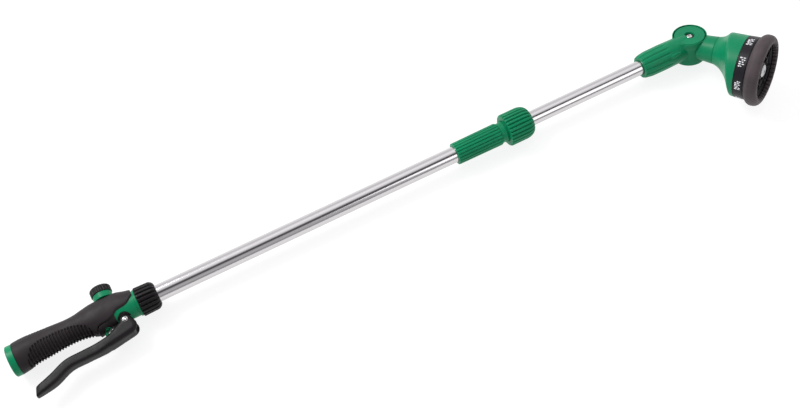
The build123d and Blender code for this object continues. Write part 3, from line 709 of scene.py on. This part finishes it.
collar = lathe("collar_ribbed", TUBE, [
    (COLLAR_X, 12.9, 0.3), (COLLAR_X, COLLAR_R - 1.2, 0.5, 0.3), (COLLAR_X + 1.4, COLLAR_R, 0.8, 1.0),
    (620.0, COLLAR_R, 2.5, 1.0), (COLLAR_END - 4.6, COLLAR_R - 1.6, 2.0, 1.0),
    (COLLAR_END - 1.4, COLLAR_R - 4.4, 1.2, 1.3), (COLLAR_END, COLLAR_R - 7.8, 0.6, 0.8),
    (COLLAR_END, UPPER_R + 0.4, 0.3),
    (621.0, UPPER_R + 0.4, 0.2), (612.0, 12.4, 0.3), (609.0, 12.9, 0.2),
], segments=364, ribs=26, depth=1.9, width=0.6)
dress(collar, green, "green_plastic", "lock_collar", "lock_collar")


# ---- head socket: fluted arm and the joint's drum ---------------------------------------------
SOCKET_X, ARM_R, ARM_R_END = 782.0, 13.9, 15.6
DRUM_R, DRUM_LOW, DRUM_TOP, RIM_R = 19.6, -17.8, 14.6, 20.2
DISC_R, DISC_LOW, DISC_TOP = 17.9, 10.3, 14.2


def skin_tube(bm, centres, radii):
    """Blunt rounded bar through a few centres."""
    rows = []
    for centre, radius in zip(centres, radii):
        turns = [tau * j / 24 for j in range(24)]
        rows.append([centre + Vector((0, radius * cos(t), radius * sin(t))) for t in turns])
    skin(bm, rows)


def make_socket():
    arm = new_part(lathe_into, TUBE, [
        (SOCKET_X, 9.0, 0.3), (SOCKET_X, ARM_R - 0.6, 0.8, 0.5), (SOCKET_X + 2.0, ARM_R + 0.1, 1.0, 1.0),
        (SOCKET_X + 10, ARM_R_END - 0.2, 3.0, 1.0), (SOCKET_X + 30, ARM_R_END, 3.0, 1.0),
        (SOCKET_X + 42, ARM_R_END - 0.2, 3.0, 0.0), (848, ARM_R_END - 0.8, 1.0), (848, 0.4, 0.1),
        (802.0, 0.4, 0.1), (802.0, 9.0, 0.3),
    ], segments=224, ribs=14, depth=1.1, width=0.5)
    drum = new_part(lathe_into, DRUM, [
        (DRUM_LOW, 0.4, 0.1), (DRUM_LOW, DRUM_R, 2.2), (7.0, DRUM_R, 1.5),
        (9.0, RIM_R, 0.8), (DRUM_TOP, RIM_R, 0.7),
        (DRUM_TOP, RIM_R - 1.1, 0.4), (DISC_LOW, RIM_R - 1.2, 0.2), (DISC_LOW, 0.4, 0.1),
    ], segments=160)
    ridge = new_part(skin_tube, [
        Vector((814.0, -9.4, 9.8)), Vector((820.0, -9.8, 10.2)), Vector((831.0, -9.6, 10.4)),
    ], (1.6, 3.0, 1.8))
    socket = moulded("socket_moulding", [arm, drum, ridge], grain=0.36, soften=2)
    dress(socket, green, "green_plastic", "upper_tube", "head_socket")


make_socket()

cap = lathe("drum_cap", DRUM, [
    (DISC_LOW + 0.1, 2.1, 0.1), (DISC_LOW + 0.1, DISC_R, 0.2), (DISC_TOP, DISC_R, 0.9),
    (DISC_TOP + 0.25, 6.0, 0.6), (DISC_TOP - 2.4, 5.4, 0.3), (DISC_TOP - 2.5, 2.1, 0.1),
], segments=160)
dress(cap, green, "green_plastic", "upper_tube", "pivot_cap")


def cross_screw(name, place, top, head_r, shank_r, low):
    """Domed screw with a cross recess in its head."""
    under, arm, half = top - 1.5, head_r * 0.62, 0.42
    screw = new_part(disc_into, place, [
        (low, 0), (low, shank_r, 0.3), (under, shank_r, 0.1), (under, head_r, 0.3),
        (top - 0.8, head_r, 0.5), (top, head_r * 0.5, 0.8), (top + 0.05, 0),
    ], segments=64)
    screw.name = name
    for turn in (0, pi / 2):
        bar = place @ Matrix.Rotation(turn + 0.4, 4, "X")
        cut(screw, new_part(box_into, bar, (top - 1.0, -arm, -half), (top + 1, arm, half)))
    weigh_normals(screw)
    return screw


pivot_screw = cross_screw("cap_screw", DRUM, DISC_TOP - 0.5, 3.5, 2.0, -14.8)
dress(pivot_screw, chrome, "screw_chrome", "upper_tube", "pivot_screw")
# black ring on the floor of the cap's recess, round the screw: painted shade, a dark piece where the recess lies
# in shadow
recess = lathe("cap_recess_shade", DRUM, [
    (DISC_TOP - 2.6, 2.1, 0.1), (DISC_TOP - 2.6, 5.3, 0.1),
    (DISC_TOP - 2.1, 5.3, 0.1), (DISC_TOP - 2.1, 2.1, 0.1),
], segments=64)
dress(recess, black, "black_plastic", "upper_tube")
lever_screw = cross_screw("lever_screw", PIN, EAR_OUT + 1.6, 3.3, 2.4, -11.8)
dress(lever_screw, chrome, "screw_chrome", "handle", "lever_pivot_screw")


# ---- head neck and bell -------------------------------------------------------------------------
SEAM, NECK_R, SADDLE_R = 34.0, 16.5, 20.6
RIM_AT, BELL_SHIFT, BELL_R, BELL_WALL = 72.0, 17.5, 36.2, 2.3
CREASE_MIDDLE, CREASE_LEAN, CREASE_TURN, CREASE_IN, CREASE_SOFT = 14.0, 8.5, 143.0, 0.4, 5
BELL_POINTS = 160


def make_neck():
    """Round neck cut to sit on the drum."""
    neck = new_part(lathe_into, NECK, [
        (9.0, 5.2, 0.1), (9.0, 15.4, 0.1), (20.0, 15.2, 4.0), (SEAM - 1.2, NECK_R - 0.1, 0.4),
        (SEAM - 0.3, NECK_R - 0.1, 0.3), (SEAM - 0.3, 5.2, 0.1),
    ], segments=144)
    neck.name = "neck_saddle"
    saddle = new_part(disc_into, DRUM, [(-26, 0), (-26, SADDLE_R), (26, SADDLE_R), (26, 0)], segments=192)
    cut(neck, saddle)
    edges = neck.modifiers.new("edges", "BEVEL")
    edges.width = 0.55 * MM
    edges.segments = 3
    edges.limit_method = "ANGLE"
    edges.angle_limit = radians(38)
    apply_modifiers(neck)
    weigh_normals(neck)
    dress(neck, green, "green_plastic", "head", "head_neck")


def bell_point(along, turn, inset):
    """Point of the bell: along 0 at the seam, 1 at the crease, 2 at the rim."""
    crease = RIM_AT - CREASE_MIDDLE - CREASE_LEAN * cos(turn - radians(CREASE_TURN))
    if along <= 1:
        flare = 0.25 * along + 0.75 * along ** 2.1
        place = SEAM + (crease - SEAM) * along
        shift, radius = BELL_SHIFT * flare, NECK_R + (BELL_R - CREASE_IN - NECK_R) * flare
    else:
        place = crease + (RIM_AT - crease) * (along - 1)
        shift, radius = BELL_SHIFT, BELL_R - CREASE_IN + CREASE_IN * (along - 1)
    radius -= inset
    return (NECK @ Vector((place, 0, 0)) + shift_dir * (shift + radius * cos(turn))
            + pivot_dir * radius * sin(turn))


def bell_ring(along, inset=0.0):
    return [bell_point(along, tau * j / BELL_POINTS, inset) for j in range(BELL_POINTS)]


def make_bell():
    """Lopsided shell from the neck's seam to the dial, with its crease smoothed."""
    bm = bmesh.new()
    outer = [i / 30 for i in range(31)] + [1 + i / 14 for i in range(1, 15)]
    rows = [bell_ring(along) for along in outer]
    for _ in range(CREASE_SOFT):
        rows[1:-1] = [[a / 4 + b / 2 + c / 4 for a, b, c in zip(rows[i - 1], rows[i], rows[i + 1])]
                      for i in range(1, len(rows) - 1)]
    for end in (0, -1):
        rows.insert(end % (len(rows) + 1), bell_ring(outer[end], 0.5))
    for along in reversed(outer[::5]):
        rows.append(bell_ring(along, BELL_WALL))
    skin(bm, rows, torus=True)
    bell = finish_mesh("bell_shell", bm, flat_edges=60)
    dress(bell, green, "green_plastic", "head", "head_bell")


make_neck()
make_bell()


# ---- dial: band with marks, bezel, spray face -------------------------------------------------------
DIAL_BACK, BAND_END, FACE = 72.5, 85.0, 101.0
BAND_R, BEZEL_R, BEZEL_BORE = 36.8, 41.8, 31.6
LABELS, LABEL_WIDE, LABEL_TALL, LABEL_START = 8, 12.5, 6.6, radians(42)

band = lathe("band_plain", DIAL, [
    (DIAL_BACK, 3.0, 0.2), (DIAL_BACK, BELL_R + 0.1, 0.4),
    (BAND_END - 1.2, BAND_R, 0.2), (BAND_END - 0.8, BAND_R - 0.5, 0.1), (BAND_END, BAND_R - 0.5, 0.1),
    (FACE - 5, 35.4, 0.2), (FACE - 5, 33.2, 0.2), (88.0, 33.2, 0.2), (88.0, 31.0, 0.2),
    (75.5, 31.0, 0.2), (75.5, 3.0, 0.2),
], segments=192)
dress(band, band_black, "black_plastic", "dial", "dial_band")


def raised_mark(bm, turn, low, high, width):
    """Small printed bar on the band, just proud of it."""
    rows = []
    for lift in (-0.1, 0.12):
        row = []
        for along, side in ((low, -1), (low, 1), (high, 1), (high, -1)):
            share = (along - DIAL_BACK) / (BAND_END - DIAL_BACK)
            radius = BELL_R + 0.1 + (BAND_R - BELL_R) * share + lift
            angle = turn + side * width / 2 / BAND_R
            row.append(DIAL @ Vector((along, radius * cos(angle), radius * sin(angle))))
        rows.append(row)
    skin(bm, rows)


def make_marks():
    """One generic pictogram for each spray pattern: rows of bars and dots, no letters."""
    bm = bmesh.new()
    middle = (DIAL_BACK + BAND_END) / 2 - 0.4
    for label in range(LABELS):
        centre = tau * label / LABELS + LABEL_START
        strokes = 5 + label % 2
        for k in range(strokes):
            turn = centre + (k - (strokes - 1) / 2) * LABEL_WIDE / strokes / BAND_R
            tall = LABEL_TALL * (1.0, 0.62, 0.84)[(k + label) % 3]
            low = middle - LABEL_TALL / 2 + (LABEL_TALL - tall) * ((k + label) % 2)
            raised_mark(bm, turn, low, low + tall * 0.42, 1.5)
            raised_mark(bm, turn, low + tall * 0.58, low + tall, 1.1)
    marks = finish_mesh("band_marks", bm, weighted=False)
    dress(marks, mark_paint, "black_plastic", "dial")


make_marks()

bezel = lathe("bezel_tyre", DIAL, [
    (BAND_END + 0.1, 35.4, 0.2), (BAND_END + 0.1, BAND_R + 0.2, 0.8), (BAND_END + 2.2, BEZEL_R - 2.0, 1.2),
    (BAND_END + 5.0, BEZEL_R - 0.3, 2.0), (FACE - 8.0, BEZEL_R, 3.0), (FACE - 3.6, BEZEL_R - 0.6, 2.0),
    (FACE - 0.8, BEZEL_R - 3.2, 1.6), (FACE, BEZEL_R - 6.0, 1.0), (FACE - 0.2, BEZEL_BORE + 1.8, 0.4, 0.8),
    (FACE - 1.6, BEZEL_BORE + 0.5, 0.6, 1.0), (FACE - 4.9, BEZEL_BORE, 0.2, 1.0), (FACE - 4.9, 35.4, 0.2),
], segments=440, ribs=40, depth=-1.7, width=0.5)
dress(bezel, bezel_rubber, "bezel_rubber", "dial", "bezel")


def make_spray_face():
    """Dished plate with rings of nozzles, two raised rings and spokes round the hub."""
    plate = new_part(disc_into, DIAL, [
        (88.2, 0), (88.2, 33.0, 0.3), (95.0, 33.0, 0.2), (95.0, 31.4, 0.2),
        (93.6, 29.5, 0.8), (93.2, 11.0, 0.8), (94.6, 9.4, 0.5), (94.6, 0),
    ], segments=144)
    plate.name = "spray_face"
    holes = bmesh.new()
    for radius, count, size in ((13.5, 12, 0.9), (18.0, 18, 0.8), (22.5, 24, 0.8), (27.0, 12, 1.3)):
        for k in range(count):
            turn = tau * k / count + radius * 0.1
            spot = DIAL @ Matrix.Translation((0, radius * cos(turn), radius * sin(turn)))
            disc_into(holes, spot, [(91.5, 0), (91.5, size), (97, size), (97, 0)], segments=12)
    cut(plate, finish_mesh("temporary", holes, weighted=False))
    weigh_normals(plate)
    dress(plate, band_black, "black_plastic", "dial", "spray_plate")

    bm = bmesh.new()
    for k in range(8):
        spoke = DIAL @ Matrix.Rotation(tau * (k + 0.5) / 8, 4, "X")
        box_into(bm, spoke, (93.0, 9.0, -0.6), (94.9, 30.6, 0.6))
    for radius in (15.8, 25.0):
        lathe_into(bm, DIAL, [
            (93.0, radius, 0.1), (93.0, radius + 1.0, 0.1), (94.5, radius + 1.0, 0.3), (94.5, radius, 0.3),
        ])
    ribs = finish_mesh("spray_ribs", bm)
    dress(ribs, black, "black_plastic", "dial")

    hub = lathe("spray_centre", DIAL, [
        (92.0, 1.5, 0.1), (92.0, 4.2, 0.1), (94.7, 4.2, 0.1), (94.7, 7.6, 0.3), (96.2, 7.4, 0.7),
        (97.3, 4.4, 0.8), (97.3, 3.2, 0.3), (96.0, 2.6, 0.3), (96.0, 1.5, 0.1),
    ], segments=120)
    dress(hub, steel, "inner_plastic", "dial", "spray_hub")


make_spray_face()


# ---- stem gland: domed green nut -------------------------------------------------------------
gland = lathe("gland_dome", STEM, [
    (-11.8, 2.1, 0.1), (-11.8, 4.0, 0.2), (-14.5, 4.0, 0.1), (-14.5, 5.6, 0.3), (-15.4, 5.4, 0.5),
    (-16.2, 4.0, 0.6), (-16.2, 2.1, 0.1),
])
dress(gland, green, "green_plastic", "handle", "stem_gland")

# ---- camera, floor and light ---------------------------------------------------------------
CAMERA_AT = (198.6, -523.2, 1111.3)
CAMERA_TURN, CAMERA_TIP, CAMERA_ROLL = -26.49, 63.48, -1.30
FLOOR_GLOW = 0.82
# the tent's brightness round the wand's axis: degrees from straight up towards the thumb side, value
TENT = [(-95, 0.34), (-78, 0.40), (-58, 0.60), (-38, 0.52), (-30, 0.10), (-13, 0.10), (-3, 0.62),
        (8, 1.05), (26, 1.30), (44, 1.00), (62, 0.80), (88, 1.05)]


def set_camera():
    turn, tip, roll = radians(CAMERA_TURN), radians(CAMERA_TIP), radians(CAMERA_ROLL)
    back = Vector((sin(turn) * cos(tip), -cos(turn) * cos(tip), sin(tip)))
    level = Vector((cos(turn), sin(turn), 0))
    raised = back.cross(level)
    right = level * cos(roll) + raised * sin(roll)
    up = back.cross(right)
    camera = bpy.data.cameras.new("camera")
    camera.lens = 50
    camera.sensor_width = 36
    eye = bpy.data.objects.new("camera", camera)
    eye.matrix_world = (Matrix.Translation(Vector(CAMERA_AT) * MM)
                        @ Matrix((right, up, back)).transposed().to_4x4())
    scene.collection.objects.link(eye)
    scene.camera = eye


def make_floor():
    """Wide pale floor under the lowest point."""
    bm = bmesh.new()
    level = cad_low[2] / MM - 0.05
    reach, steps, middle = 9000.0, 6, 460
    rows = [[Vector((middle + reach * (2 * i / steps - 1), reach * (2 * j / steps - 1), level))
             for j in range(steps + 1)] for i in range(steps + 1)]
    skin(bm, rows, ring=False, ends=False)
    ground = finish_mesh("floor", bm, weighted=False)
    for polygon in ground.data.polygons:
        if polygon.normal.z < 0:
            ground.data.flip_normals()
            break
    look = Nodes("floor_pale")
    wide = look.noise(3, 3)
    look.link(look.ramp(wide, [(0.3, (0.24,) * 3), (0.7, (0.26,) * 3)]), look.shader.inputs["Base Color"])
    look.link(look.between(look.noise(180, 3), 0.75, 0.9), look.shader.inputs["Roughness"])
    look.set("Specular IOR Level", 0.0)
    look.set("Emission Color", (1, 1, 1, 1))
    look.set("Emission Strength", FLOOR_GLOW)
    ground.data.materials.append(look.material)


def soft_light(name, place, target, size, power):
    """Rectangular lamp, in metres and watts."""
    light = bpy.data.lights.new(name, "AREA")
    light.shape = "RECTANGLE"
    light.size, light.size_y = size
    light.energy = power
    lamp = bpy.data.objects.new(name, light)
    aim = (Vector(target) - Vector(place)).to_track_quat("-Z", "Y")
    lamp.matrix_world = Matrix.Translation(Vector(place)) @ aim.to_matrix().to_4x4()
    scene.collection.objects.link(lamp)


def set_world():
    """Studio tent: bright towards the thumb side, greyer on the lever side, with a dark slit overhead."""
    world = bpy.data.worlds.new("studio")
    scene.world = world
    world.use_nodes = True
    tree = world.node_tree
    background = tree.nodes["Background"]
    where = tree.nodes.new("ShaderNodeTexCoord").outputs["Generated"]
    split = tree.nodes.new("ShaderNodeSeparateXYZ")
    tree.links.new(where, split.inputs["Vector"])
    angle = tree.nodes.new("ShaderNodeMath")
    angle.operation = "ARCTAN2"
    tree.links.new(split.outputs["Y"], angle.inputs[0])
    tree.links.new(split.outputs["Z"], angle.inputs[1])
    share = tree.nodes.new("ShaderNodeMapRange")
    share.inputs["From Min"].default_value = -pi
    share.inputs["From Max"].default_value = pi
    tree.links.new(angle.outputs["Value"], share.inputs["Value"])
    ramp = tree.nodes.new("ShaderNodeValToRGB")
    while len(ramp.color_ramp.elements) < len(TENT):
        ramp.color_ramp.elements.new(0.5)
    for element, (at, value) in zip(ramp.color_ramp.elements, TENT):
        element.position = (at + 180) / 360
        element.color = (value, value, value * 1.01, 1)
    tree.links.new(share.outputs["Result"], ramp.inputs["Fac"])
    tree.links.new(ramp.outputs["Color"], background.inputs["Color"])
    background.inputs["Strength"].default_value = 1.0


set_camera()
make_floor()
set_world()
soft_light("key", (-0.6, 1.4, 2.0), (0.45, 0, 0), (1.2, 0.9), 46)
soft_light("fill", (1.6, -1.6, 1.5), (0.5, 0, 0), (1.4, 1.4), 8)
scene.view_settings.view_transform = "Standard"
scene.view_settings.look = "None"
